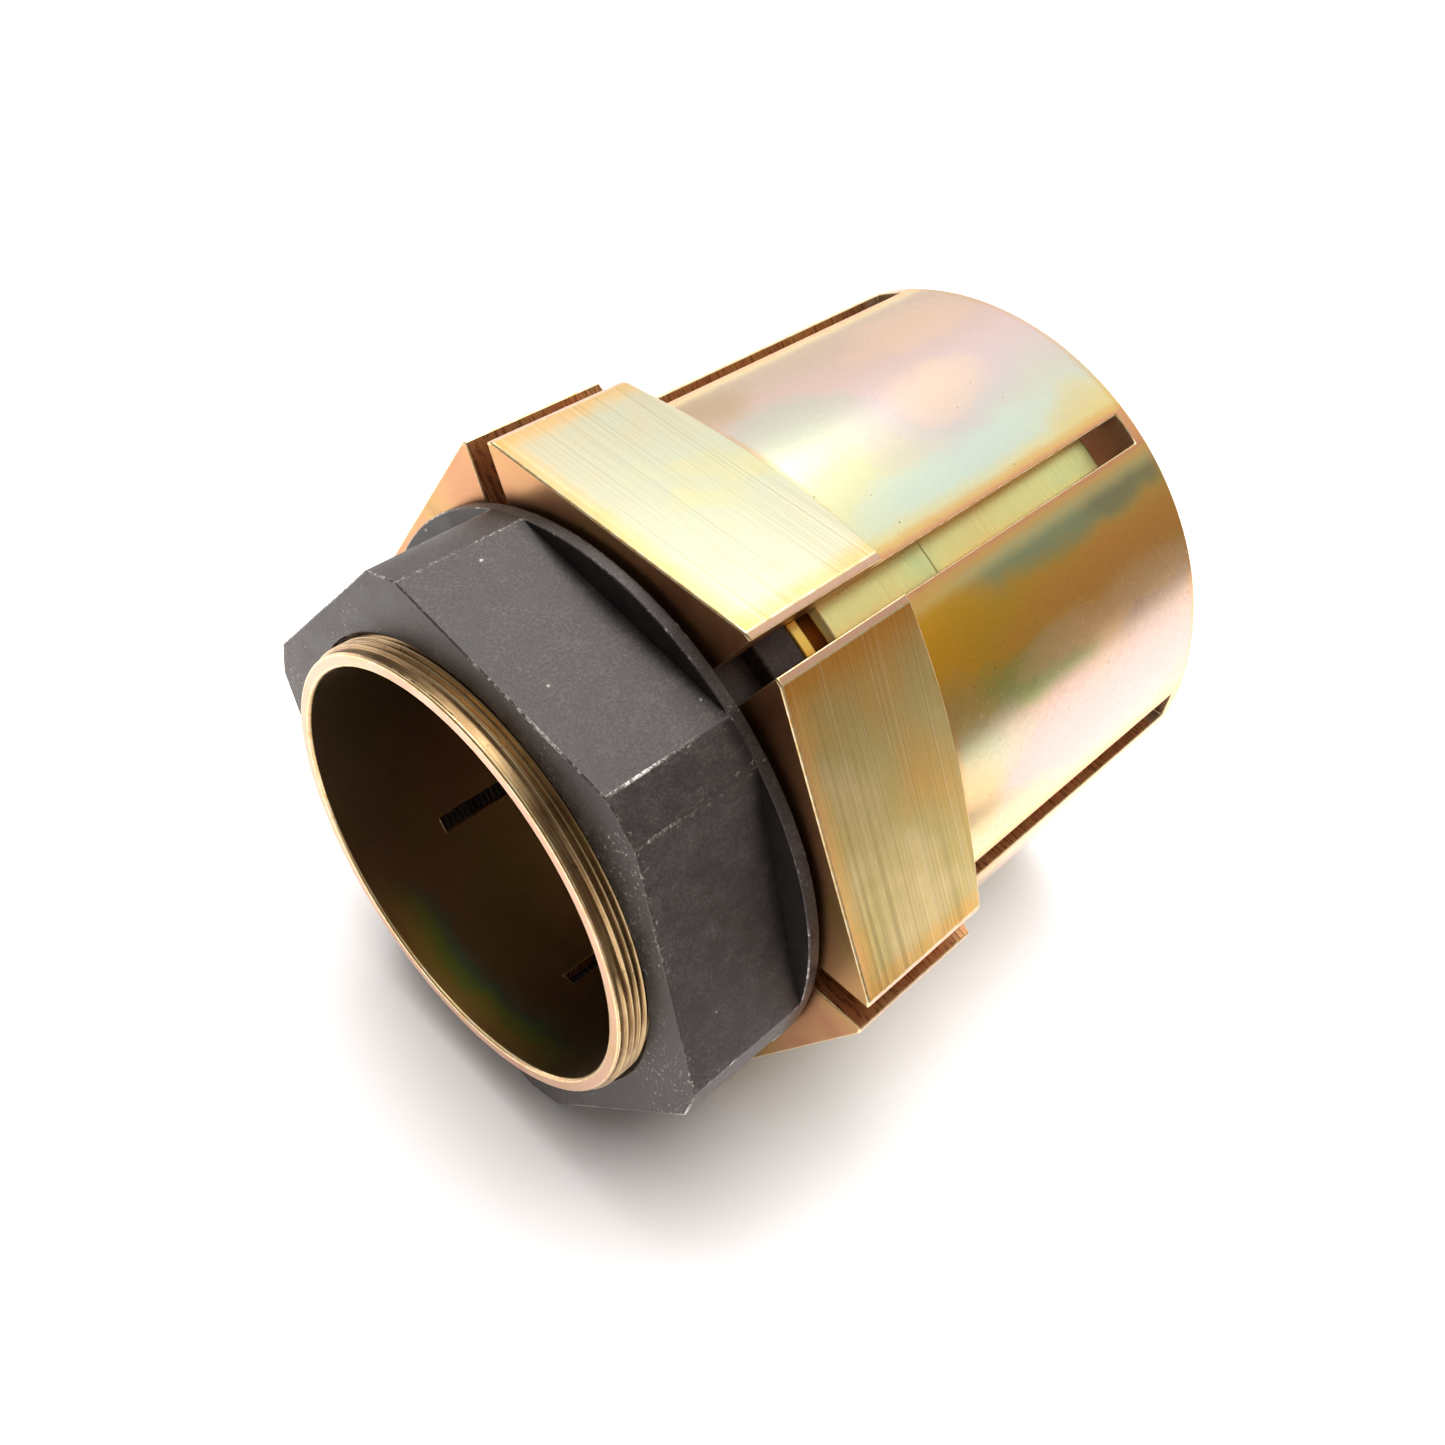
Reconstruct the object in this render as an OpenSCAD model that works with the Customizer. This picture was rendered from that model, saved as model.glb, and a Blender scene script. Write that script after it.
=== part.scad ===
// Keyless locking bushing that joins a plain shaft to a plain hub bore.
// The axis lies along X: the hexagon nut is at -X and the far end at +X.
// X = 0 is the front face of the outer sleeve's hexagon collar, Z is up,
// and the bushing lies on the bottom flat of that collar.
// Millimetres.

/* [Shaft and hub] */
// Radius of the shaft bore
bore_r = 25; // [24.6:0.05:25.1]
// Radius of the cylindrical seat that the hub slides over
seat_r = 36.5; // [36.3:0.05:36.5]

/* [Outer sleeve] */
// Length of the outer sleeve, from the collar's front face to the far end
sleeve_len = 66.3; // [66:0.1:75]
// Hexagon collar, across the flats
collar_af = 73.2; // [73.1:0.05:73.6]
// Radius of the round stock that the collar's corners keep
collar_r = 40.7; // [40:0.1:42]
// X where the collar's corners start to slope down to the seat
collar_len = 18.3; // [16:0.1:19.5]
// X where that slope reaches the seat
collar_end = 19.95; // [19.8:0.05:22]
// Width of the expansion slots, which are open at the collar end
slot_w = 4; // [3:0.1:4.5]
// X where the expansion slots end
slot_end = 64.4; // [60:0.1:64.8]
// Inner radius of the closed ring at the far end
ring_r = 29.6; // [29:0.1:31]
// Radius of the lip that keeps the nut's rim in
lip_r = 31.4; // [31.3:0.05:31.6]
// Radius of the groove that holds the nut's rim and the thrust washer
groove_r = 34; // [33.8:0.1:34.4]
// X of the groove's front wall
groove_x0 = 4.9; // [4.5:0.05:5]
// X of the groove's rear wall
groove_x1 = 11.45; // [11.4:0.05:12]

/* [Taper] */
// Half angle of the mating tapers in degrees
taper = 3; // [2.5:0.1:3.2]
// X where the inner sleeve's taper starts
taper_x0 = 32.3; // [30:0.1:33]
// X where the inner sleeve's taper ends
taper_x1 = 61.5; // [60.5:0.1:61.6]
// Radius of the inner sleeve's guide land in front of the taper
land_r = 31; // [30.8:0.05:31.05]
// Radial gap between the tapers before the nut is tightened
taper_gap = 0.3; // [0.25:0.05:0.4]

/* [Inner sleeve] */
// X of the inner sleeve's front face
inner_x0 = -20.7; // [-21.5:0.1:-20]
// X of the inner sleeve's far face
inner_x1 = 61.9; // [61.8:0.1:62.4]
// Radius over the thread
thread_r = 27; // [26.9:0.05:27]
// Thread pitch
pitch = 0.8; // [0.75:0.05:1]
// Depth of the thread
thread_h = 0.45; // [0.35:0.05:0.45]
// X of the shoulder in front of the guide land
shoulder_x = 15.2; // [14:0.1:16]
// Width of the clamping slots, which are open at the far end
clamp_w = 2; // [1.5:0.1:2.5]
// X where the clamping slots start
clamp_x = -8.4; // [-12:0.1:-6]
// Turn of the clamping slots about the axis in degrees
clamp_turn = -14; // [-18:1:-10]

/* [Lock nut] */
// Hexagon of the nut, across the flats
nut_af = 62.2; // [61:0.1:63]
// Radius of the nut's round stock and flange
nut_r = 34.5; // [34:0.1:35]
// X of the nut's front face
nut_x0 = -17.6; // [-18.5:0.1:-16]
// X where the flats end and the flange starts
flange_x0 = -2.3; // [-3:0.1:-2]
// X of the flange's back face
flange_x1 = -0.75; // [-1:0.05:-0.6]
// Radius of the neck that passes through the lip
neck_r = 30.9; // [30.4:0.05:31]
// Radius of the captive rim
rim_r = 33.3; // [32.8:0.1:33.6]
// X of the rim's front face
rim_x0 = 5.1; // [5.05:0.05:5.3]
// X of the rim's rear face
rim_x1 = 9.65; // [9:0.05:9.7]
// Radial clearance between the thread crests and the nut
thread_gap = 0.08; // [0.05:0.01:0.1]
// Turn of the nut about the axis at rest in degrees
nut_turn = 8.4; // [0:0.1:59]

/* [Thrust washer] */
// Outer radius of the thrust washer
washer_r = 33.2; // [32.5:0.1:33.5]
// Inner radius of the thrust washer
washer_in = 27.6; // [27.4:0.1:28]
// X of the washer's front face
washer_x0 = 9.8; // [9.78:0.02:9.9]
// X of the washer's rear face
washer_x1 = 11.25; // [11:0.05:11.3]

/* [Hidden] */
$fn = 128;
k = tan(taper);
edge = 0.4;
seam = 8;
taper_r0 = land_r + 0.1;
taper_r1 = taper_r0 + (taper_x1 - taper_x0) * k;
function cone_r(x) = taper_r0 + (x - taper_x0) * k + taper_gap;
threads = floor((flange_x1 + 9 - inner_x0) / pitch);

// Turns a shape built along Z so that it lies along X
module along_x() { rotate([0, 90, 0]) children(); }

// Hexagonal prism with a flat on top, from x0 to x1
module hexagon(af, x0, x1, turn = 0) {
  translate([0, 0, x0]) rotate([0, 0, 30 + turn])
    cylinder(r = af / 2 / cos(30), h = x1 - x0, $fn = 6);
}

// Six radial slots of width w from x0 to x1, between radii r0 and r1
module slots(w, x0, x1, r0, r1, turn) {
  for (i = [0:5]) rotate([0, 0, turn + 60 * i])
    translate([r0, -w / 2, x0]) cube([r1 - r0, w, x1 - x0]);
}

// Outer sleeve: hexagon collar, hub seat, inner groove and taper, and six
// expansion slots that stop at a closed ring at the far end
module outer_sleeve() {
  color([0.86, 0.80, 0.56]) along_x() difference() {
    intersection() {
      rotate([0, 0, seam]) rotate_extrude() polygon([
        [0, 0], [collar_r - edge, 0], [collar_r, edge],
        [collar_r, collar_len], [seat_r, collar_end],
        [seat_r, sleeve_len - edge], [seat_r - edge, sleeve_len],
        [0, sleeve_len]]);
      union() {
        hexagon(collar_af, 0, collar_end + 0.5);
        translate([0, 0, collar_end + 0.1])
          cylinder(r = collar_r + 2, h = sleeve_len);
      }
    }
    rotate_extrude() polygon([
      [0, -1], [lip_r + edge, -1], [lip_r + edge, 0], [lip_r, edge],
      [lip_r, groove_x0], [groove_r, groove_x0],
      [groove_r, groove_x1], [land_r + 0.35, groove_x1],
      [land_r + 0.35, taper_x0 - 0.8], [cone_r(taper_x0 - 0.8), taper_x0 - 0.8],
      [cone_r(slot_end), slot_end], [ring_r, slot_end],
      [ring_r, sleeve_len - edge], [ring_r + edge, sleeve_len],
      [ring_r + edge, sleeve_len + 1], [0, sleeve_len + 1]]);
    slots(slot_w, -1, slot_end, 20, 45, 30);
  }
}

// Inner sleeve: threaded front, neck, shoulder, guide land and taper, with six
// clamping slots that are open at the far end
module inner_sleeve() {
  z0 = inner_x0 + 0.5;
  color([0.84, 0.76, 0.52]) along_x() difference() {
    rotate_extrude() polygon(concat(
      [[bore_r, inner_x0 + edge], [bore_r + edge, inner_x0],
       [thread_r - thread_h, inner_x0]],
      [for (i = [0:threads - 1]) each [
        [thread_r - thread_h, z0 + i * pitch],
        [thread_r, z0 + i * pitch + 0.26],
        [thread_r, z0 + i * pitch + 0.36],
        [thread_r - thread_h, z0 + i * pitch + 0.62]]],
      [[thread_r - thread_h - 0.25, z0 + threads * pitch],
       [thread_r - thread_h - 0.25, shoulder_x],
       [land_r - 0.6, shoulder_x], [land_r, shoulder_x + 0.75],
       [land_r, taper_x0], [taper_r0, taper_x0],
       [taper_r1, taper_x1], [taper_r1 - (inner_x1 - taper_x1), inner_x1],
       [bore_r + edge, inner_x1], [bore_r, inner_x1 - edge]]));
    slots(clamp_w, clamp_x, inner_x1 + 1, 20, 40, clamp_turn);
  }
}

// Lock nut: round stock with six milled flats, a full flange behind them, a
// neck through the outer sleeve's lip and a captive rim in its groove
module lock_nut() {
  color([0.20, 0.19, 0.19]) along_x() difference() {
    union() {
      intersection() {
        hexagon(nut_af, nut_x0, flange_x0 + 0.4, nut_turn);
        rotate_extrude() polygon([
          [0, nut_x0], [nut_r - edge, nut_x0], [nut_r, nut_x0 + edge],
          [nut_r, flange_x0 + 0.4], [0, flange_x0 + 0.4]]);
      }
      rotate_extrude() polygon([
        [0, flange_x0], [nut_r, flange_x0], [nut_r, flange_x1 - 0.2],
        [nut_r - 0.2, flange_x1], [neck_r, flange_x1], [neck_r, rim_x0],
        [rim_r - 0.25, rim_x0], [rim_r, rim_x0 + 0.25],
        [rim_r, rim_x1 - 0.25], [rim_r - 0.25, rim_x1], [0, rim_x1]]);
    }
    translate([0, 0, nut_x0 - 1])
      cylinder(r = thread_r + thread_gap, h = rim_x1 - nut_x0 + 2);
    translate([0, 0, nut_x0 - 0.1])
      cylinder(r1 = thread_r + thread_gap + 0.52, r2 = thread_r + thread_gap, h = 0.52);
    translate([0, 0, rim_x1 - 0.8])
      cylinder(r1 = thread_r + thread_gap, r2 = thread_r + thread_gap + 0.9, h = 0.9);
  }
}

// Thrust washer between the nut's rim and the groove's rear wall
module thrust_washer() {
  color([0.95, 0.80, 0.42]) along_x() rotate_extrude() polygon([
    [washer_in, washer_x0], [washer_r - 0.2, washer_x0],
    [washer_r, washer_x0 + 0.2], [washer_r, washer_x1 - 0.2],
    [washer_r - 0.2, washer_x1], [washer_in, washer_x1]]);
}

outer_sleeve();
inner_sleeve();
lock_nut();
thrust_washer();
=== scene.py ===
import math
import bpy
import bmesh
import numpy as np
from mathutils import Matrix, Vector


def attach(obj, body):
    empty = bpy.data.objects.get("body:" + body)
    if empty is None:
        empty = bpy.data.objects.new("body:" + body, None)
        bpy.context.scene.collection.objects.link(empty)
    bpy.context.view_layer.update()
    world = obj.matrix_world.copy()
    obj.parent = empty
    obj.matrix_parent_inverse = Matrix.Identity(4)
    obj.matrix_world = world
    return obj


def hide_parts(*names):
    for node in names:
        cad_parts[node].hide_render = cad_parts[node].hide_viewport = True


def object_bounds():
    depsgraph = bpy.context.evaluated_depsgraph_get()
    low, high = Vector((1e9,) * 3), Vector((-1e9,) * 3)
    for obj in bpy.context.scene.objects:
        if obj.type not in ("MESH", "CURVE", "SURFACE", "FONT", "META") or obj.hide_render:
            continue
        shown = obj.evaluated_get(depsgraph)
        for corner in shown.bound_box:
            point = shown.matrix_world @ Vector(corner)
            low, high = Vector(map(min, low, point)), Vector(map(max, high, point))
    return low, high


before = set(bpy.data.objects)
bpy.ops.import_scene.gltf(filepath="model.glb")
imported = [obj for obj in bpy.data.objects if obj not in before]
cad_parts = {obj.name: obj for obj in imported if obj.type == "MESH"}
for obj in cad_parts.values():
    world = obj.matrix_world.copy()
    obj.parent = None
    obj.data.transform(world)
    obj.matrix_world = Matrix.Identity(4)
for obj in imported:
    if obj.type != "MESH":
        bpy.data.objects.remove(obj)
cad_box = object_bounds()

MM = 0.001
T3 = math.tan(math.radians(3))


# ---------------------------------------------------------------- geometry

def pt(x, r, phi):
    a = math.radians(phi)
    return (x * MM, -r * math.sin(a) * MM, r * math.cos(a) * MM)


class Builder:
    """Collects vertices and faces, with a bevel weight for each edge and a material for each face."""

    def __init__(self):
        self.v, self.f, self.m, self.w = [], [], [], {}

    def vert(self, x, r, phi):
        self.v.append(pt(x, r, phi))
        return len(self.v) - 1

    def face(self, ids, mat):
        self.f.append(list(ids))
        self.m.append(mat)

    def weight(self, a, b, w):
        if w > 0:
            self.w[(min(a, b), max(a, b))] = w

    def object(self, name, materials, bevel, edge_mat, merge=2e-7):
        bm = bmesh.new()
        layer = bm.edges.layers.float.new("bevel_weight_edge")
        vs = [bm.verts.new(c) for c in self.v]
        for ids, mat in zip(self.f, self.m):
            try:
                f = bm.faces.new([vs[i] for i in ids])
                f.material_index = mat
                f.smooth = True
            except ValueError:
                pass
        bm.edges.ensure_lookup_table()
        index = {v: i for i, v in enumerate(vs)}
        for e in bm.edges:
            a, b = index[e.verts[0]], index[e.verts[1]]
            w = self.w.get((min(a, b), max(a, b)), 0)
            if w:
                e[layer] = w
        bmesh.ops.remove_doubles(bm, verts=bm.verts[:], dist=merge)
        loose = [v for v in bm.verts if not v.link_faces]
        bmesh.ops.delete(bm, geom=loose, context="VERTS")
        bmesh.ops.recalc_face_normals(bm, faces=bm.faces[:])
        mesh = bpy.data.meshes.new(name)
        bm.to_mesh(mesh)
        bad = sum(1 for e in bm.edges if len(e.link_faces) != 2)
        print("MESH", name, len(mesh.vertices), len(mesh.polygons), "open edges", bad)
        bm.free()
        o = bpy.data.objects.new(name, mesh)
        bpy.context.scene.collection.objects.link(o)
        for mat in materials:
            mesh.materials.append(mat)
        b = o.modifiers.new("edges", "BEVEL")
        b.width = bevel * MM
        b.segments = 2
        b.limit_method = "WEIGHT"
        b.use_clamp_overlap = False
        b.material = edge_mat
        b.miter_outer = "MITER_SHARP"
        n = o.modifiers.new("normals", "WEIGHTED_NORMAL")
        n.mode = "FACE_AREA"
        n.weight = 60
        n.keep_sharp = True
        mesh.set_sharp_from_angle(angle=math.radians(28))
        return o


def val(f, t):
    return f(t) if callable(f) else f


class Ring:
    """A body of revolution whose profile may change with the angle, in six equal
    segments with or without slots between them. rows: (x, r, bevel weight, material
    of the strip to the next row). ring: the rows that go all the way round."""

    def __init__(self, b, rows, seg, centre, half_w=0, ring=None, wall_w=0, wall_mat=0, r_wall=None):
        self.b, self.rows, self.cols = b, rows, []
        n = len(rows)
        ring = set(range(n)) if ring is None else set(ring)
        slot = half_w > 0
        for k in range(6):
            for t in seg:
                self.cols.append((centre + 60 * k, t, "seg"))
            if slot:
                self.cols.append((centre + 60 * k, 1, "wall"))
                for d in (-1.3, 0, 1.3):
                    self.cols.append((centre + 60 * k, 30 + d, "gap"))
                self.cols.append((centre + 60 * (k + 1), -1, "wall"))
        self.n = len(self.cols)
        self.id = {}
        self.phi = {}
        for i, row in enumerate(rows):
            for j, (c, t, kind) in enumerate(self.cols):
                if kind == "gap" and i not in ring:
                    continue
                if kind == "wall":
                    r = val(row[1], 27.0)
                    x = val(row[0], 27.0)
                    rw = r
                    t = t * (30 - math.degrees(math.asin(half_w / rw)))
                else:
                    x, r = val(row[0], t), val(row[1], t)
                self.id[i, j] = b.vert(x, r, c + t)
                self.phi[i, j] = c + t
        for j in range(self.n):
            j2 = (j + 1) % self.n
            kinds = (self.cols[j][2], self.cols[j2][2])
            gap = "gap" in kinds
            for i in range(n):
                i2 = (i + 1) % n
                if rows[i][3] is None:
                    continue
                if gap and not (i in ring and i2 in ring):
                    continue
                b.face((self.id[i, j], self.id[i, j2], self.id[i2, j2], self.id[i2, j]), rows[i][3])
            for i in range(n):
                if gap and (i, j) not in self.id or (i, j2) not in self.id:
                    continue
                if (i, j) not in self.id:
                    continue
                if gap and not (i in ring):
                    continue
                w = rows[i][2]
                if w:
                    t = self.cols[j][1] if kinds[0] == "seg" else 27
                    t2 = self.cols[j2][1] if kinds[1] == "seg" else 27
                    b.weight(self.id[i, j], self.id[i, j2], 0.5 * (val(w, t) + val(w, t2)))
        if slot:
            run = [i for i in range(n) if i not in ring]
            # rows of the slotted part in order, with the two rows at the slot's end
            first = run[0]
            order = []
            i = first
            while (i - 1) % n not in ring:
                i = (i - 1) % n
            start = (i - 1) % n
            order = [start]
            while i not in ring:
                order.append(i)
                i = (i + 1) % n
            order.append(i)
            self.ends = (start, i)
            for j, (c, t, kind) in enumerate(self.cols):
                if kind != "wall":
                    continue
                b.face([self.id[i, j] for i in order], wall_mat)
                for a, c2 in zip(order, order[1:]):
                    b.weight(self.id[a, j], self.id[c2, j], wall_w)
                b.weight(self.id[order[0], j], self.id[order[-1], j], wall_w)
            for j in range(self.n):
                j2 = (j + 1) % self.n
                if "gap" in (self.cols[j][2], self.cols[j2][2]):
                    b.face((self.id[start, j], self.id[start, j2], self.id[i, j2], self.id[i, j]), wall_mat)
                    if rows[start][0] != rows[start - 1][0]:
                        b.weight(self.id[start, j], self.id[start, j2], wall_w)
                    b.weight(self.id[i, j], self.id[i, j2], wall_w)


PITCH = 0.8
HELIX = [(0.0, 0.0), (0.28, 0.86), (0.34, 1.0), (0.44, 1.0), (0.50, 0.86), (0.78, 0.0)]


def thread(b, ring, row_lo, row_hi, x_lo, x_hi, radius, mat, start_phi, start_x, limit):
    """A right-hand thread as a grid that follows the helix, between two rows of a Ring."""
    n = len(HELIX)
    js = list(range(ring.n))
    phis = [ring.phi[row_lo, j] % 360 for j in js]
    s = min(js, key=lambda j: abs((phis[j] - start_phi + 180) % 360 - 180))
    order = [(s + k) % ring.n for k in range(ring.n)] + [s]
    start = phis[s]
    un = []
    for k, j in enumerate(order):
        a = (phis[j] - start) % 360
        if k == len(order) - 1:
            a = 360.0
        un.append(a)
    turns = int((x_hi - start_x) / PITCH) + 3
    grid = []
    for i in range(-2 * n, turns * n):
        turn, ph = divmod(i, n)
        row = []
        for k, a in enumerate(un):
            x = start_x + PITCH * (turn + HELIX[ph][0] - 0.39) + PITCH * a / 360
            r = radius(x, HELIX[ph][1], a + 360 * turn)
            j = order[k]
            if x <= x_lo + 0.004:
                row.append(ring.id[row_lo, j])
            elif x >= x_hi - 0.004:
                row.append(ring.id[row_hi, j])
            else:
                row.append(b.vert(x, limit(x, r), start + a))
        grid.append(row)
    for g0, g1 in zip(grid, grid[1:]):
        for k in range(len(order) - 1):
            ids = []
            for q in (g0[k], g0[k + 1], g1[k + 1], g1[k]):
                if q not in ids:
                    ids.append(q)
            if len(ids) >= 3:
                b.face(ids, mat)


def steps(a, b, n):
    return [a + (b - a) * i / n for i in range(n + 1)]


def smooth(a, b, x):
    t = min(1, max(0, (x - a) / (b - a)))
    return t * t * (3 - 2 * t)


# ---------------------------------------------------------------- node helper

class S:
    """A socket with arithmetic, so that a material reads like a formula."""

    def __init__(self, tree, sock):
        self.tree, self.sock = tree, sock

    def op(self, name, *others, clamp=False):
        n = self.tree.nodes.new("ShaderNodeMath")
        n.operation = name
        n.use_clamp = clamp
        for i, o in enumerate((self,) + others):
            if isinstance(o, S):
                self.tree.links.new(o.sock, n.inputs[i])
            else:
                n.inputs[i].default_value = o
        return S(self.tree, n.outputs[0])

    def __add__(self, o):
        return self.op("ADD", o)

    __radd__ = __add__

    def __sub__(self, o):
        return self.op("SUBTRACT", o)

    def __rsub__(self, o):
        return (self * -1) + o

    def __mul__(self, o):
        return self.op("MULTIPLY", o)

    __rmul__ = __mul__

    def abs(self):
        return self.op("ABSOLUTE")

    def sin(self):
        return self.op("SINE")

    def step(self, a, b, lo=0.0, hi=1.0):
        """Smoothly from lo at a to hi at b."""
        n = self.tree.nodes.new("ShaderNodeMapRange")
        n.interpolation_type = "SMOOTHSTEP"
        n.clamp = True
        self.tree.links.new(self.sock, n.inputs["Value"])
        if a <= b:
            n.inputs["From Min"].default_value, n.inputs["From Max"].default_value = a, b
            n.inputs["To Min"].default_value, n.inputs["To Max"].default_value = lo, hi
        else:
            n.inputs["From Min"].default_value, n.inputs["From Max"].default_value = b, a
            n.inputs["To Min"].default_value, n.inputs["To Max"].default_value = hi, lo
        return S(self.tree, n.outputs["Result"])


class Mat:
    """One Principled material in the piece's own coordinates, in millimetres."""

    def __init__(self, name, metallic=1.0, roughness=0.3, specular=None):
        self.mat = bpy.data.materials.new(name)
        self.mat.use_nodes = True
        self.tree = self.mat.node_tree
        self.bsdf = self.tree.nodes["Principled BSDF"]
        self.bsdf.inputs["Metallic"].default_value = metallic
        self.bsdf.inputs["Roughness"].default_value = roughness
        if specular is not None:
            self.bsdf.inputs["Specular IOR Level"].default_value = specular
        c = self.tree.nodes.new("ShaderNodeTexCoord")
        sep = self.tree.nodes.new("ShaderNodeSeparateXYZ")
        self.tree.links.new(c.outputs["Object"], sep.inputs[0])
        self.x = S(self.tree, sep.outputs[0]) * 1000
        self.y = S(self.tree, sep.outputs[1]) * 1000
        self.z = S(self.tree, sep.outputs[2]) * 1000
        self.r = (self.y * self.y + self.z * self.z).op("SQRT")
        self.phi = (self.y * -1).op("ARCTAN2", self.z) * (180 / math.pi)

    def wrap(self, turn):
        """Angle from the nearest of six directions at turn + 60k, from -30 to 30."""
        return (self.phi - turn).op("WRAP", 30.0, -30.0)

    def across(self, turn):
        """Distance from the middle plane of the nearest of six directions."""
        return self.r * (self.wrap(turn) * (math.pi / 180)).sin()

    def vec(self, a, b, c):
        n = self.tree.nodes.new("ShaderNodeCombineXYZ")
        for i, o in enumerate((a, b, c)):
            if isinstance(o, S):
                self.tree.links.new(o.sock, n.inputs[i])
            else:
                n.inputs[i].default_value = o
        return S(self.tree, n.outputs[0])

    def place(self, k=1.0):
        return self.vec(self.x * k, self.y * k, self.z * k)

    def noise(self, vec, scale=1.0, detail=3.0, rough=0.5, distort=0.0):
        n = self.tree.nodes.new("ShaderNodeTexNoise")
        self.tree.links.new(vec.sock, n.inputs["Vector"])
        n.inputs["Scale"].default_value = scale
        n.inputs["Detail"].default_value = detail
        n.inputs["Roughness"].default_value = rough
        n.inputs["Distortion"].default_value = distort
        return S(self.tree, n.outputs["Fac"])

    def voronoi(self, vec, scale=1.0, feature="F1", rand=1.0):
        n = self.tree.nodes.new("ShaderNodeTexVoronoi")
        n.feature = feature
        self.tree.links.new(vec.sock, n.inputs["Vector"])
        n.inputs["Scale"].default_value = scale
        n.inputs["Randomness"].default_value = rand
        return S(self.tree, n.outputs["Distance"])

    def ramp(self, fac, stops, interp="LINEAR"):
        n = self.tree.nodes.new("ShaderNodeValToRGB")
        n.color_ramp.interpolation = interp
        el = n.color_ramp.elements
        while len(el) > 1:
            el.remove(el[-1])
        for i, (p, c) in enumerate(stops):
            e = el[0] if i == 0 else el.new(p)
            e.position = p
            e.color = rgb(c) if isinstance(c, tuple) else (c, c, c, 1)
        self.tree.links.new(fac.sock, n.inputs["Fac"])
        return S(self.tree, n.outputs["Color"])

    def mix(self, fac, a, b, mode="MIX"):
        n = self.tree.nodes.new("ShaderNodeMix")
        n.data_type = "RGBA"
        n.blend_type = mode
        for sock, v in ((n.inputs[0], fac), (n.inputs[6], a), (n.inputs[7], b)):
            if isinstance(v, S):
                self.tree.links.new(v.sock, sock)
            elif isinstance(v, tuple):
                sock.default_value = rgb(v)
            else:
                sock.default_value = v
        return S(self.tree, n.outputs[2])

    def color(self, s):
        self.tree.links.new(s.sock, self.bsdf.inputs["Base Color"])

    def rough(self, s):
        self.tree.links.new(s.sock, self.bsdf.inputs["Roughness"])

    def bump(self, height, strength=0.3, distance=0.02):
        n = self.tree.nodes.new("ShaderNodeBump")
        n.inputs["Strength"].default_value = strength
        n.inputs["Distance"].default_value = distance * MM
        self.tree.links.new(height.sock, n.inputs["Height"])
        if getattr(self, "last_bump", None) is not None:
            self.tree.links.new(self.last_bump, n.inputs["Normal"])
        self.last_bump = n.outputs["Normal"]
        self.tree.links.new(n.outputs["Normal"], self.bsdf.inputs["Normal"])


def lin(c):
    c = c / 255
    return c / 12.92 if c <= 0.04045 else ((c + 0.055) / 1.055) ** 2.4


def rgb(c):
    return (lin(c[0]), lin(c[1]), lin(c[2]), 1.0)


# ---------------------------------------------------------------- zinc film
# Yellow chromate is a thin film: its thickness gives the colour.


# Tint round the cylinder over two neighbouring segments: angle, colour.
ROUND = [
    (-30, (214, 168, 120)), (-24, (220, 194, 158)), (-15, (226, 196, 176)), (-5, (228, 198, 186)),
    (5, (224, 202, 200)), (11, (222, 214, 198)), (17, (220, 226, 204)), (21, (238, 240, 200)),
    (26, (252, 236, 172)), (31, (226, 156, 114)), (35, (220, 184, 132)), (38, (184, 188, 132)),
    (42, (224, 192, 96)), (47, (238, 184, 94)), (51, (222, 192, 106)), (55, (240, 200, 146)),
    (60, (212, 182, 156)), (68, (200, 178, 168)), (76, (200, 180, 174)), (83, (206, 186, 172)),
    (90, (212, 174, 138)),
]
# Patches of the film: x, angle, half length, half angle, slope in degrees per mm, colour, strength.
PATCHES = [
    (25, 12, 12, 9, 0.25, (240, 234, 178), 0.8),
    (25, -1, 8, 6, 0.0, (200, 206, 188), 0.7),
    (23, -18, 5, 6, 0.0, (200, 170, 112), 0.55),
    (38, 19, 10, 4, 0.0, (214, 234, 224), 0.7),
    (52, 21, 8, 4, 0.0, (218, 228, 212), 0.6),
    (43, 8, 9, 5, 0.0, (216, 202, 214), 0.4),
    (47, 5, 5, 4, 0.0, (250, 216, 180), 0.6),
    (55, -12, 6, 5, 0.0, (248, 208, 174), 0.55),
    (63, 24, 5, 5, 0.0, (240, 212, 140), 0.6),
    (25, 35, 6, 3, 0.1, (232, 170, 134), 0.9),
    (44, 38, 15, 3.2, -0.02, (156, 176, 140), 0.8),
    (60, 37, 9, 3, 0.0, (154, 148, 112), 0.7),
    (23, 44, 10, 7, 0.25, (242, 182, 50), 0.9),
    (35, 46, 9, 5, 0.1, (224, 180, 66), 0.7),
    (52, 48, 12, 4, 0.0, (238, 172, 92), 0.75),
    (33, 56, 6, 3.6, 0.1, (158, 184, 106), 0.75),
    (21, 57, 4, 5, 0.0, (202, 180, 100), 0.7),
    (50, 55, 12, 2.6, 0.0, (246, 204, 148), 0.6),
    (23, 65, 5, 5, 0.0, (190, 196, 162), 0.7),
    (21, 73, 5, 6, 0.0, (216, 180, 116), 0.7),
    (27, 82, 9, 5, 0.2, (220, 204, 146), 0.6),
    (44, 72, 9, 6, 0.0, (206, 182, 176), 0.5),
    (63, 88, 4, 7, 0.0, (210, 170, 124), 0.5),
]


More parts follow.
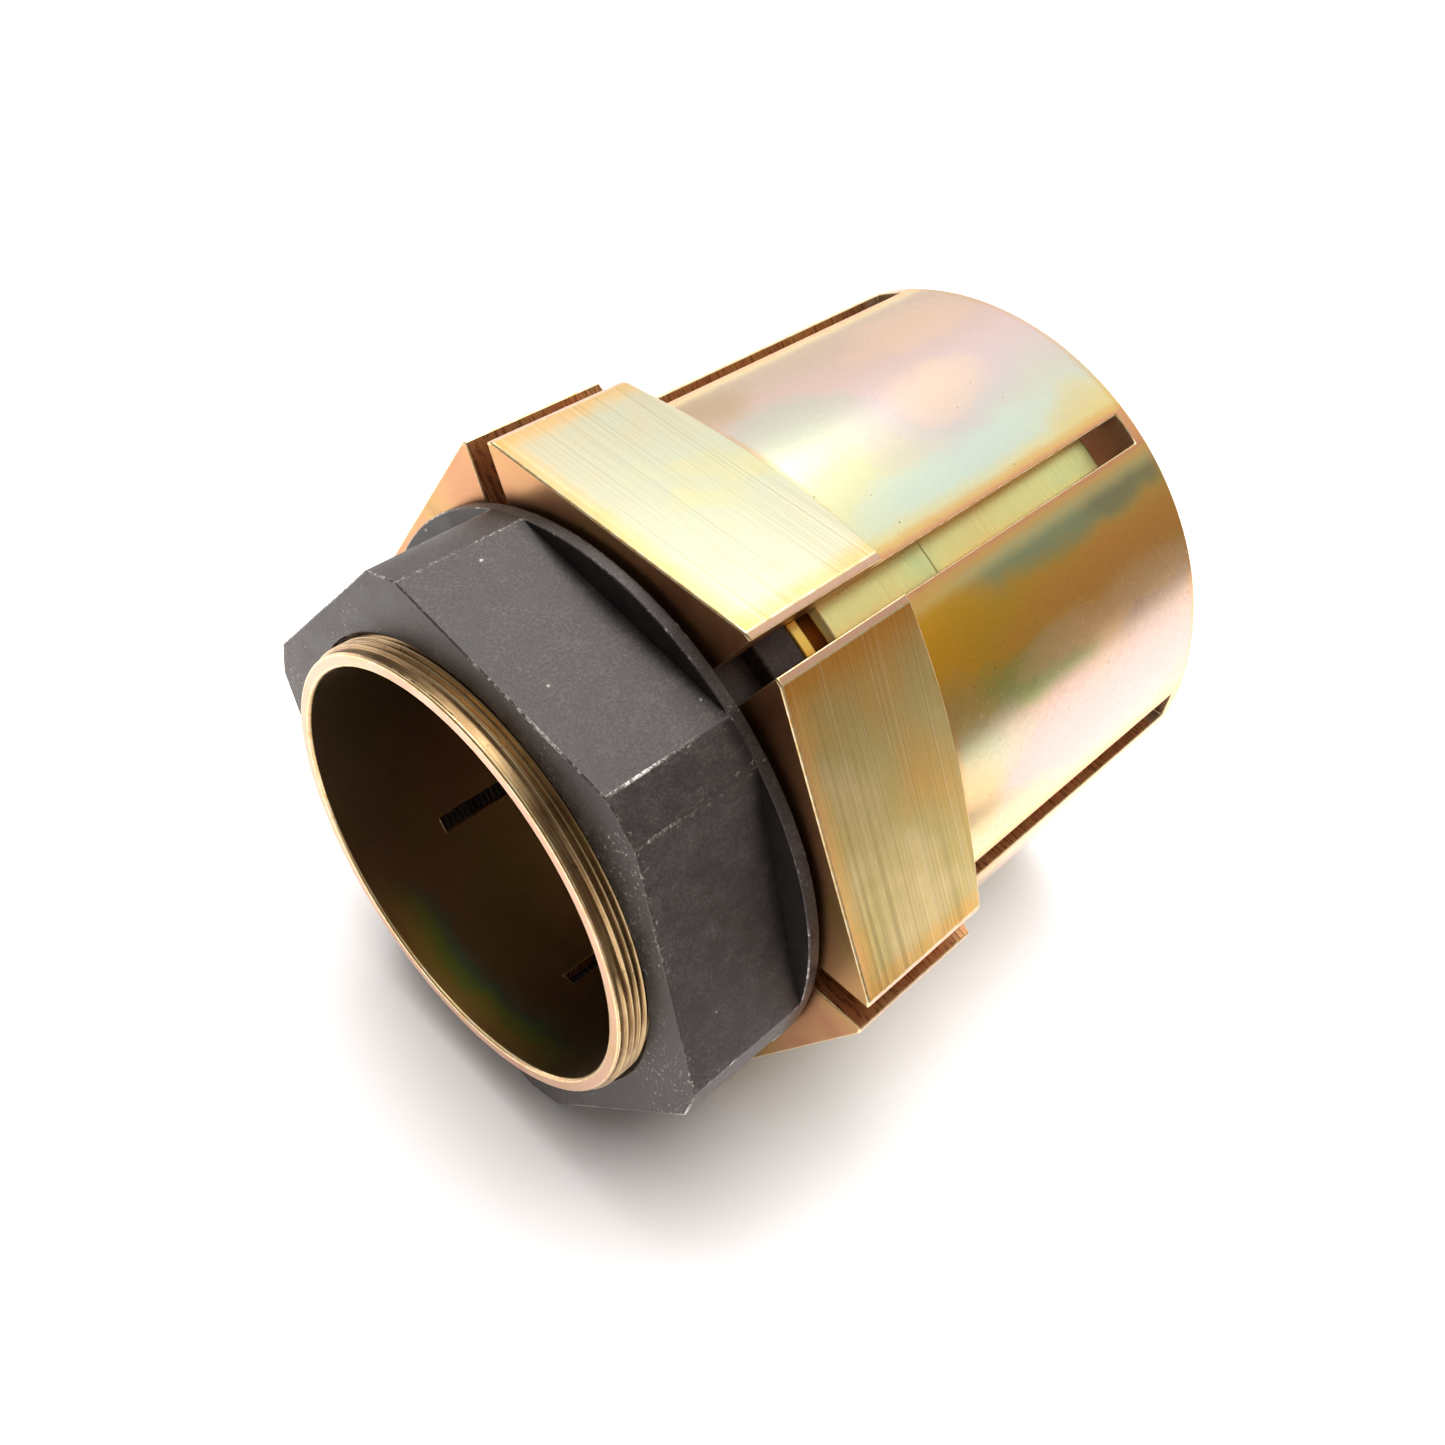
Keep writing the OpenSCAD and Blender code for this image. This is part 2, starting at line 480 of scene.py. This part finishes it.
def zinc_seat():
    m = Mat("zinc_seat", roughness=0.26)
    wa = m.noise(m.place(), 0.07, 3, 0.45, 0.3) - 0.5
    wb = m.noise(m.place(), 0.09, 3, 0.45, 0.3) - 0.5
    wc = m.noise(m.place(), 0.30, 4, 0.6, 0.3) - 0.5
    # the layout covers two segments and repeats three times, pulled about by the noise
    phi = (m.phi - 30).op("WRAP", 60.0, -60.0) + 30
    ang = phi + wa * 12 + wc * 0.7
    x = m.x + wb * 20
    col = m.ramp((ang + 30) * (1 / 120), [((a + 30) / 120, c) for a, c in ROUND], "B_SPLINE")
    for x0, a0, sx, sa, slope, c, k in PATCHES:
        dx = (x - x0) * (1 / (sx * 1.7))
        da = ((ang - a0) - (x - x0) * slope) * (1 / (sa * 1.7))
        d = dx * dx + da * da
        col = m.mix(d.step(1.25, 0.0) * k, col, c)
    # fringes along the slots, the far rim and the collar
    edge = m.across(30).abs() - 2 + wc * 0.9
    far = (66.3 - m.x) + wc * 1.4
    near = (m.x - 19.9) + wc * 1.0
    col = m.mix(edge.step(3.4, 1.6) * 0.5, col, (246, 226, 150))
    col = m.mix(edge.step(1.9, 0.8) * 0.7, col, (240, 186, 108))
    col = m.mix(edge.step(0.9, 0.15) * 0.8, col, (226, 160, 124))
    col = m.mix(far.step(1.6, 0.3) * 0.4, col, (232, 178, 100))
    col = m.mix(near.step(1.3, 0.1) * 0.55, col, (220, 166, 100))
    fine = m.noise(m.place(), 1.4, 4, 0.65)
    pit = m.voronoi(m.place(), 0.62).step(0.085, 0.04) * m.noise(m.place(), 0.12, 2, 0.5).step(0.48, 0.58)
    col = m.mix(fine.step(0.35, 0.7, 0.0, 0.05), col, (170, 140, 110), "MULTIPLY")
    col = m.mix(pit * 0.75, col, (64, 58, 44))
    m.color(col)
    lines = m.noise(m.vec(m.x * 9, m.y * 0.22, m.z * 0.22), 1.0, 3, 0.6)
    m.rough(fine.step(0.3, 0.75, 0.23, 0.28))
    m.bump(lines, 0.02, 0.004)
    return m.mat


def zinc_flat():
    m = Mat("zinc_flat", roughness=0.30)
    s = m.across(0)
    wa = m.noise(m.place(), 0.07, 2, 0.5, 0.2)
    wb = m.noise(m.place(), 0.28, 4, 0.6, 0.3)
    # milling marks run across the flat, parallel to its front edge
    lines = m.noise(m.vec(m.x * 3.4, s * 0.008, m.phi * 0.004), 1.0, 2, 0.8)
    deep = m.noise(m.vec(m.x * 3.0 + 40, s * 0.014, m.phi * 0.004), 1.0, 2, 0.8)
    w2 = (wa - 0.5) * 0.8 + (wb - 0.5) * 0.2
    # greener in the middle, gold and orange to the edges; alternate flats carry a heavier film
    heavy = (m.phi - 60).op("WRAP", 60.0, -60.0).abs().step(35, 27)
    light = m.ramp(w2 + 0.5, [(0.2, (200, 184, 146)), (0.42, (194, 188, 160)), (0.55, (190, 190, 164)), (0.68, (200, 192, 148)), (0.85, (196, 172, 124))])
    dark = m.ramp(w2 + 0.5, [(0.2, (222, 172, 100)), (0.4, (206, 172, 102)), (0.55, (196, 178, 116)), (0.7, (218, 196, 144)), (0.85, (230, 196, 150))])
    col = m.mix(heavy, light, dark)
    front = m.x + (wb - 0.5) * 2.0
    side = m.across(0).abs() + (wb - 0.5) * 2.5
    top = s * -1 + (wb - 0.5) * 3
    col = m.mix(front.step(3.0, 0.5) * 0.55, col, (236, 186, 104))
    col = m.mix(front.step(1.0, 0.1) * 0.5, col, (232, 172, 120))
    col = m.mix(side.step(14.6, 17.4) * 0.6, col, (226, 170, 86))
    col = m.mix(top.step(12.5, 17.6) * heavy * 0.7, col, (214, 146, 52))
    col = m.mix(lines.step(0.36, 0.50, 0.24, 0.0), col, (120, 104, 70), "MULTIPLY")
    col = m.mix(deep.step(0.57, 0.64, 0.0, 0.16), col, (248, 238, 208))
    col = m.mix(m.across(0).abs().step(17.6, 17.85) * 0.85, col, (222, 180, 156))
    pit = m.voronoi(m.place(), 0.9).step(0.07, 0.03) * wb.step(0.5, 0.6)
    col = m.mix(pit * 0.6, col, (96, 84, 60))
    m.color(col)
    m.rough(lines.step(0.3, 0.7, 0.33, 0.27))
    m.bump(lines, 0.15, 0.02)
    m.bump(deep, 0.1, 0.02)
    return m.mat


def zinc_face():
    m = Mat("zinc_face", roughness=0.36)
    rings = m.noise(m.vec(m.r * 5, m.x * 3, 0.0), 1.0, 3, 0.6)
    big = m.noise(m.place(), 0.08, 3, 0.5, 0.5)
    m.color(m.ramp(big + (rings - 0.5) * 0.2, [(0.3, (176, 120, 86)), (0.5, (196, 146, 102)), (0.62, (190, 152, 92)), (0.8, (164, 116, 78))]))
    m.bump(rings, 0.4, 0.03)
    return m.mat


def zinc_wall():
    m = Mat("zinc_wall", roughness=0.42)
    saw = m.noise(m.vec(m.x * 2.2 + m.r * 0.35, m.r * 0.25, m.across(30) * 0.05), 1.0, 4, 0.8)
    big = m.noise(m.place(), 0.15, 3, 0.5)
    col = m.ramp(big, [(0.3, (206, 146, 104)), (0.5, (222, 168, 120)), (0.7, (232, 190, 132))])
    col = m.mix(saw.step(0.42, 0.50, 0.6, 0.0), col, (110, 72, 48), "MULTIPLY")
    col = m.mix(saw.step(0.57, 0.66, 0.0, 0.5), col, (226, 190, 142))
    end = m.x.step(61.9, 62.2)
    col = m.mix(end * 0.9, col, (176, 152, 126))
    m.color(col)
    m.rough(end * 0.3 + 0.42)
    m.bump(saw, 0.5, 0.05)
    return m.mat


def zinc_inside_painted_shade():
    m = Mat("zinc_inside_painted_shade", roughness=0.55)
    rings = m.noise(m.vec(m.x * 4, m.y * 0.1, m.z * 0.1), 1.0, 3, 0.6)
    big = m.noise(m.place(), 0.07, 3, 0.5, 0.5)
    # painted shade: the outer sleeve's inner surfaces are a darker brown than its outside film
    m.color(m.ramp(big, [(0.3, (112, 76, 54)), (0.5, (122, 90, 60)), (0.7, (112, 92, 60))]))
    m.bump(rings, 0.3, 0.02)
    return m.mat


def zinc_edge_wear_and_highlight():
    m = Mat("zinc_edge_wear_and_highlight", roughness=0.28)
    n = m.noise(m.place(), 1.1, 4, 0.65)
    # pale cream on every bevelled edge: partly rubbed film, partly painted highlight
    m.color(m.ramp(n, [(0.3, (222, 178, 112)), (0.5, (238, 214, 160)), (0.7, (246, 232, 200))]))
    m.bump(n, 0.2, 0.03)
    return m.mat


def inner_land():
    m = Mat("inner_land", roughness=0.3)
    lines = m.noise(m.vec(m.x * 7, m.y * 0.2, m.z * 0.2), 1.0, 3, 0.6)
    big = m.noise(m.place(), 0.06, 3, 0.5, 0.4)
    col = m.ramp(big, [(0.25, (242, 222, 146)), (0.5, (240, 236, 160)), (0.75, (212, 230, 168))])
    neck = (m.x + (big - 0.5) * 14).step(9.5, 1.0)
    col = m.mix(neck * 0.6, col, (238, 200, 110))
    # painted shade: the far end of the land and its chamfer, from x 61.25 on, darkened to olive
    col = m.mix(m.x.step(61.25, 61.45) * 0.9, col, (132, 118, 58))
    m.color(col)
    m.rough(lines.step(0.3, 0.7, 0.26, 0.36))
    m.bump(lines, 0.25, 0.02)
    return m.mat


def inner_thread():
    m = Mat("inner_thread", roughness=0.33)
    lines = m.noise(m.vec(m.x * 5.0 - m.phi * (5 * 0.8 / 360), m.phi * 0.02, 0.0), 1.0, 3, 0.8)
    # painted highlight: the thread crests are lightened by radius
    crest_highlight = m.r.step(26.84, 26.98)
    big = m.noise(m.place(), 0.16, 4, 0.6)
    stain = m.noise(m.place(), 0.9, 4, 0.7).step(0.62, 0.70)
    base = m.ramp(big, [(0.25, (136, 104, 70)), (0.45, (170, 138, 98)), (0.6, (190, 160, 116)), (0.8, (156, 120, 84))])
    base = m.mix(lines.step(0.40, 0.50, 0.5, 0.0), base, (110, 78, 46), "MULTIPLY")
    base = m.mix(lines.step(0.58, 0.66, 0.0, 0.4), base, (240, 222, 170))
    base = m.mix(crest_highlight * 0.55, base, (232, 210, 160))
    base = m.mix(stain * 0.6, base, (70, 44, 28))
    m.color(base)
    m.rough(lines.step(0.3, 0.7, 0.40, 0.28))
    m.bump(lines, 0.4, 0.03)
    return m.mat


def inner_front():
    m = Mat("inner_front", roughness=0.3)
    rings = m.noise(m.vec(m.r * 8, 0.0, 0.0), 1.0, 3, 0.6)
    big = m.noise(m.place(), 0.12, 3, 0.5)
    m.color(m.ramp(big + (rings - 0.5) * 0.2, [(0.3, (206, 158, 130)), (0.5, (216, 174, 148)), (0.7, (204, 164, 116))]))
    m.bump(rings, 0.3, 0.02)
    return m.mat


def inner_bore():
    m = Mat("inner_bore", roughness=0.38)
    lines = m.noise(m.vec(m.x * 5, m.y * 0.12, m.z * 0.12), 1.0, 3, 0.6)
    big = m.noise(m.place(), 0.05, 3, 0.5, 0.3)
    warp = m.noise(m.place(), 0.12, 3, 0.5, 0.3) - 0.5
    col = m.ramp(big, [(0.3, (146, 108, 88)), (0.5, (142, 118, 84)), (0.7, (132, 116, 76))])
    # the film shows its colours near the mouth, at the bottom
    low = (m.phi - 180).op("WRAP", 180.0, -180.0)
    t = (m.x + 20.7) + warp * 5
    band = m.ramp(t * (1 / 9), [(0.0, (206, 160, 84)), (0.22, (196, 176, 66)), (0.42, (140, 178, 74)), (0.6, (92, 150, 118)), (0.8, (112, 118, 104)), (1.0, (140, 112, 80))])
    mask = (low + warp * 20).abs().step(48, 16) * t.step(9, 4)
    col = m.mix(mask * 0.6, col, band)
    m.color(col)
    m.rough(lines.step(0.3, 0.7, 0.34, 0.42))
    m.bump(lines, 0.2, 0.015)
    return m.mat


def nut_black():
    m = Mat("nut_black", metallic=0.3, roughness=0.42, specular=0.5)
    grain = m.noise(m.place(), 3.4, 4, 0.8)
    mott = m.noise(m.place(), 0.40, 5, 0.65, 0.4)
    big = m.noise(m.place(), 0.07, 3, 0.5)
    speck = m.voronoi(m.place(), 0.26).step(0.075, 0.035) * mott.step(0.50, 0.60)
    tiny = m.voronoi(m.place(), 1.1).step(0.08, 0.03) * big.step(0.50, 0.62)
    # nicks beside the edges of the flats and round the front
    band = (m.wrap(8.4).abs() - 25.65).abs() * 0.6
    front = m.x + 17.6
    near = (band.op("MINIMUM", front) + (mott - 0.5) * 1.2).step(1.1, 0.1)
    nick = m.noise(m.vec(m.x * 1.1, m.y * 2.4, m.z * 2.4), 1.0, 4, 0.75).step(0.60, 0.65) * near * big.step(0.42, 0.60)
    base = m.ramp(mott * 0.36 + grain * 0.54 + big * 0.10, [(0.34, (49, 43, 41)), (0.5, (70, 62, 59)), (0.66, (106, 96, 92))])
    # painted shade: the nut's front face is darkened
    base = m.mix(front.step(0.25, 0.1) * 0.75, base, (196, 192, 190), "MULTIPLY")
    # painted shade where the flats run into the flange, in the concave corner and on the flange's front face
    base = m.mix(m.x.step(-4.2, -2.4) * m.x.step(-2.2, -2.28) * 0.75, base, (110, 104, 102), "MULTIPLY")
    col = m.mix(speck * 0.9, base, (206, 198, 190))
    col = m.mix(tiny * 0.6, col, (146, 138, 132))
    col = m.mix(nick * 0.85, col, (190, 182, 174))
    m.color(col)
    m.rough(mott.step(0.3, 0.7, 0.37, 0.48))
    m.bump(grain, 0.6, 0.045)
    return m.mat


def nut_edge():
    m = Mat("nut_edge", metallic=0.5, roughness=0.38)
    n = m.noise(m.place(), 1.7, 5, 0.75)
    area = m.noise(m.place(), 0.09, 2, 0.5)
    chip = n + (area - 0.5) * 0.9
    col = m.ramp(chip, [(0.48, (78, 70, 67)), (0.56, (104, 96, 92)), (0.63, (150, 143, 138)), (0.68, (214, 208, 202)), (0.9, (228, 224, 218))])
    m.color(col)
    m.bump(n, 0.7, 0.06)
    return m.mat


def gold():
    m = Mat("gold_zinc", roughness=0.22)
    big = m.noise(m.place(), 0.15, 3, 0.5)
    rings = m.noise(m.vec(m.r * 6, m.x * 4, 0.0), 1.0, 3, 0.6)
    m.color(m.ramp(big, [(0.3, (228, 176, 80)), (0.5, (238, 196, 96)), (0.7, (240, 208, 120))]))
    m.bump(rings, 0.3, 0.02)
    return m.mat


# ---------------------------------------------------------------- pieces

def outer_sleeve():
    AF, CR, SR = 36.6, 40.7, 36.5
    mats = [zinc_seat(), zinc_flat(), zinc_face(), zinc_wall(), zinc_inside_painted_shade(), zinc_edge_wear_and_highlight()]
    SEAT, FLAT, FACE, WALL, IN, EDGE = range(6)
    corner = math.degrees(math.acos(AF / CR))
    seg = [-corner] + steps(-24, 24, 24) + [corner]

    def R(t):
        return min(AF / math.cos(math.radians(t)), CR)

    def xe(t):
        return 18.3 + (CR - R(t)) / (CR - SR) * 1.65

    def rear(t):
        return 0.45 * smooth(5, 16, abs(t))

    b = Builder()
    rows = [
        (0, R, 0.9, FLAT),
        (xe, R, rear, FACE),
        (19.95, SR, 0, SEAT),
        (64.4, SR, 0, SEAT),
        (66.3, SR, 1.0, FACE),
        (66.3, 29.6, 0.8, IN),
        (64.4, 29.6, 0, WALL),
        (64.4, 33.08, 0, IN),
        (31.5, 31.36, 0, IN),
        (11.45, 31.35, 0.4, IN),
        (11.45, 34.0, 0, IN),
        (4.9, 34.0, 0, IN),
        (4.9, 31.4, 0.4, IN),
        (0, 31.4, 0.8, FACE),
    ]
    ring = Ring(b, rows, seg, 0, half_w=2.0, ring=[3, 4, 5, 6, 7], wall_w=0.55, wall_mat=WALL)
    for j, (c, t, kind) in enumerate(ring.cols):
        if kind == "seg" and abs(abs(t) - corner) < 1e-6:
            b.weight(ring.id[0, j], ring.id[1, j], 0.5)
    return b.object("outer_sleeve_body", mats, 0.25, EDGE)


def inner_sleeve():
    mats = [inner_land(), inner_thread(), inner_front(), inner_bore(), zinc_wall(), zinc_edge_wear_and_highlight()]
    LAND, THR, FRONT, BORE, WALL, EDGE = range(6)
    seg = steps(-27, 27, 36)
    b = Builder()
    r1 = 31.1 + 29.2 * T3
    rows = [
        (-8.4, 25.0, 0, BORE),
        (-20.45, 25.0, 0.5, FRONT),
        (-20.7, 25.25, 0.4, FRONT),
        (-20.7, 26.4, 0.3, FRONT),
        (-20.5, 26.6, 0.3, None),
        (-9.2, 26.4, 0, THR),
        (-8.4, 26.4, 0, THR),
        (15.2, 26.4, 0, FRONT),
        (15.2, 30.4, 0.4, LAND),
        (15.95, 31.0, 0.4, LAND),
        (32.3, 31.0, 0, LAND),
        (32.45, 31.1, 0, LAND),
        (61.5, r1, 0, LAND),
        (61.9, r1 - 0.4, 0, FRONT),
        (61.9, 25.4, 0.4, FRONT),
        (61.5, 25.0, 0.4, BORE),
    ]
    ring = Ring(b, rows, seg, 16, half_w=1.0, ring=[0, 1, 2, 3, 4, 5, 6], wall_w=0.35, wall_mat=WALL)

    def radius(x, h, turned):
        h = h * smooth(0, 16, turned) * smooth(-9.4, -10.6, x)
        root = 26.6
        if x > -10.4:
            root = 26.6 + (26.4 - 26.6) * smooth(-10.4, -9.4, x)
        return root + h * 0.38

    thread(b, ring, 4, 5, -20.5, -9.2, radius, THR, 61, -19.81, lambda x, r: r)
    return b.object("inner_sleeve_body", mats, 0.25, EDGE)


def lock_nut():
    mats = [nut_black(), nut_black(), nut_edge()]
    AF, NR = 31.1, 34.5
    corner = math.degrees(math.acos(AF / NR))
    seg = [-corner] + steps(-24, 24, 16) + [corner, corner + 1.5, 30 - 0.6]

    def R(t):
        return min(AF / math.cos(math.radians(t)), NR)

    def flange(t):
        return 0 if abs(t) > corner - 0.2 else min(0.6, 0.8 * (NR - R(t)))

    b = Builder()
    rows = [
        (-17.6, 27.5, 0.2, 1),
        (-17.6, R, 0.6, 0),
        (-2.3, R, 0, 1),
        (-2.3, NR, flange, 1),
        (-0.75, NR, 0.8, 1),
        (-0.75, 30.9, 0, 1),
        (5.1, 30.9, 0, 1),
        (5.1, 33.3, 0.9, 1),
        (9.65, 33.3, 0.9, 1),
        (9.65, 28.0, 0.3, None),
    ]
    ring = Ring(b, rows, seg, 8.4)

    def limit(x, r):
        return max(r, 27.5 - (x + 17.6), 28.0 - (9.65 - x))

    def radius(x, h, turned):
        return 26.66 + h * 0.38

    thread(b, ring, 0, 9, -17.6, 9.65, radius, 1, 61, -19.81 + 0.8 * 0, limit)
    for j, (c, t, kind) in enumerate(ring.cols):
        if abs(abs(t) - corner) < 1e-6:
            b.weight(ring.id[1, j], ring.id[2, j], 0.45)
    return b.object("lock_nut_body", mats, 0.3, 2)


def thrust_washer():
    mats = [gold()]
    b = Builder()
    rows = [
        (9.8, 27.6, 0.8, 0),
        (9.8, 33.2, 1, 0),
        (11.25, 33.2, 1, 0),
        (11.25, 27.6, 0.8, 0),
    ]
    Ring(b, rows, steps(-30, 28, 29), 0)
    return b.object("thrust_washer_ring", mats, 0.2, -1)


for piece, body, node, slot in (
    (outer_sleeve(), "outer_body", "outer_sleeve", "zinc_outer"),
    (inner_sleeve(), "inner_body", "inner_sleeve", "zinc_inner"),
    (lock_nut(), "nut_body", "lock_nut", "black_oxide"),
    (thrust_washer(), "washer_body", "thrust_washer", "gold_zinc"),
):
    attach(piece, body)
    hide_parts(node)


# ---------------------------------------------------------------- stage

def floor():
    z = cad_box[0][2]
    mesh = bpy.data.meshes.new("floor")
    s = 2.5
    mesh.from_pydata([(-s, -s, z), (s, -s, z), (s, s, z), (-s, s, z)], [], [(0, 1, 2, 3)])
    o = bpy.data.objects.new("floor", mesh)
    bpy.context.scene.collection.objects.link(o)
    mat = bpy.data.materials.new("floor_white")
    mat.use_nodes = True
    bs = mat.node_tree.nodes["Principled BSDF"]
    bs.inputs["Base Color"].default_value = (0.94, 0.90, 0.885, 1)
    bs.inputs["Roughness"].default_value = 0.9
    bs.inputs["Specular IOR Level"].default_value = 0.1
    mesh.materials.append(mat)
    return o


stage_floor = floor()


def area(name, place, target, size, power, color=(1, 1, 1), size_y=None):
    l = bpy.data.lights.new(name, "AREA")
    l.shape = "RECTANGLE"
    l.size = size
    l.size_y = size_y or size
    l.energy = power
    l.color = color
    o = bpy.data.objects.new(name, l)
    o.location = place
    d = Vector(target) - Vector(place)
    o.rotation_euler = d.to_track_quat("-Z", "Y").to_euler()
    bpy.context.scene.collection.objects.link(o)
    return o


key = area("key", (0.24, 0.33, 0.91), (0.02, 0, 0), 0.72, 6.4)
# a second soft light that only the floor takes, so that it stays near white
fill = area("floor_fill", (0.20, -0.04, 1.10), (0.04, 0, -0.036), 1.1, 17)
only = bpy.data.collections.new("floor_only")
only.objects.link(stage_floor)
fill.light_linking.receiver_collection = only


def card(name, corners, low, high):
    """A panel that only reflections see: its glow goes from low at its first edge to high at the other."""
    mesh = bpy.data.meshes.new(name)
    mesh.from_pydata(corners, [], [(0, 1, 2, 3)])
    uv = mesh.uv_layers.new(name="UVMap")
    for k, c in enumerate(((0, 0), (1, 0), (1, 1), (0, 1))):
        uv.data[k].uv = c
    o = bpy.data.objects.new(name, mesh)
    bpy.context.scene.collection.objects.link(o)
    mat = bpy.data.materials.new(name)
    mat.use_nodes = True
    t = mat.node_tree
    t.nodes.remove(t.nodes["Principled BSDF"])
    em = t.nodes.new("ShaderNodeEmission")
    tc = t.nodes.new("ShaderNodeTexCoord")
    sp = t.nodes.new("ShaderNodeSeparateXYZ")
    rp = t.nodes.new("ShaderNodeValToRGB")
    t.links.new(tc.outputs["UV"], sp.inputs[0])
    t.links.new(sp.outputs[1], rp.inputs["Fac"])
    rp.color_ramp.elements[0].color = (*low, 1)
    rp.color_ramp.elements[1].color = (*high, 1)
    t.links.new(rp.outputs["Color"], em.inputs["Color"])
    t.links.new(em.outputs[0], t.nodes["Material Output"].inputs["Surface"])
    mesh.materials.append(mat)
    o.visible_camera = False
    o.visible_diffuse = False
    o.visible_shadow = False
    o.visible_transmission = False
    o.visible_volume_scatter = False
    return o


card("card_right", [(-0.25, -0.33, -0.036), (1.4, -0.33, -0.036), (1.4, -0.40, 0.55), (-0.25, -0.40, 0.55)],
     (0.27, 0.22, 0.19), (0.62, 0.57, 0.53))
card("card_low", [(-0.15, -0.30, -0.0355), (0.085, -0.30, -0.0355), (0.085, -0.085, -0.0355), (-0.15, -0.085, -0.0355)],
     (0.10, 0.09, 0.085), (0.16, 0.145, 0.14))

world = bpy.data.worlds.new("studio")
bpy.context.scene.world = world
world.use_nodes = True
wt = world.node_tree
bg = wt.nodes["Background"]
tc = wt.nodes.new("ShaderNodeTexCoord")
dt = wt.nodes.new("ShaderNodeVectorMath")
dt.operation = "DOT_PRODUCT"
wt.links.new(tc.outputs["Generated"], dt.inputs[0])
dt.inputs[1].default_value = Vector((0.50, 0.42, 0.76)).normalized()
wr = wt.nodes.new("ShaderNodeValToRGB")
el = wr.color_ramp.elements
el[0].position, el[0].color = 0.0, (0.125, 0.112, 0.104, 1)
el[1].position, el[1].color = 0.9, (1.0, 1.0, 1.0, 1)
for p, c in ((0.30, (0.30, 0.285, 0.275, 1)), (0.55, (0.78, 0.77, 0.76, 1))):
    e = el.new(p)
    e.color = c
wt.links.new(dt.outputs["Value"], wr.inputs["Fac"])
wt.links.new(wr.outputs["Color"], bg.inputs["Color"])
bg.inputs["Strength"].default_value = 1.0

# ---------------------------------------------------------------- camera

right = (0.7007304377, -0.7057157215, 0.1046048473)
down = (-0.4640902956, -0.5622653033, -0.6844544598)
ahead = (0.5418459491, 0.4310719767, -0.7215122440)
cam = bpy.data.cameras.new("camera")
cam.sensor_width = 36
cam.lens = 36 * 1407.59 / 1445
cam.clip_start = 0.005
co = bpy.data.objects.new("camera", cam)
m3 = Matrix((right, [-a for a in down], [-a for a in ahead])).transposed()
co.matrix_world = Matrix.Translation((-0.0730327, -0.0749098, 0.1214139)) @ m3.to_4x4()
bpy.context.scene.collection.objects.link(co)
bpy.context.scene.camera = co
bpy.context.scene.view_settings.view_transform = "Standard"
bpy.context.scene.view_settings.look = "None"
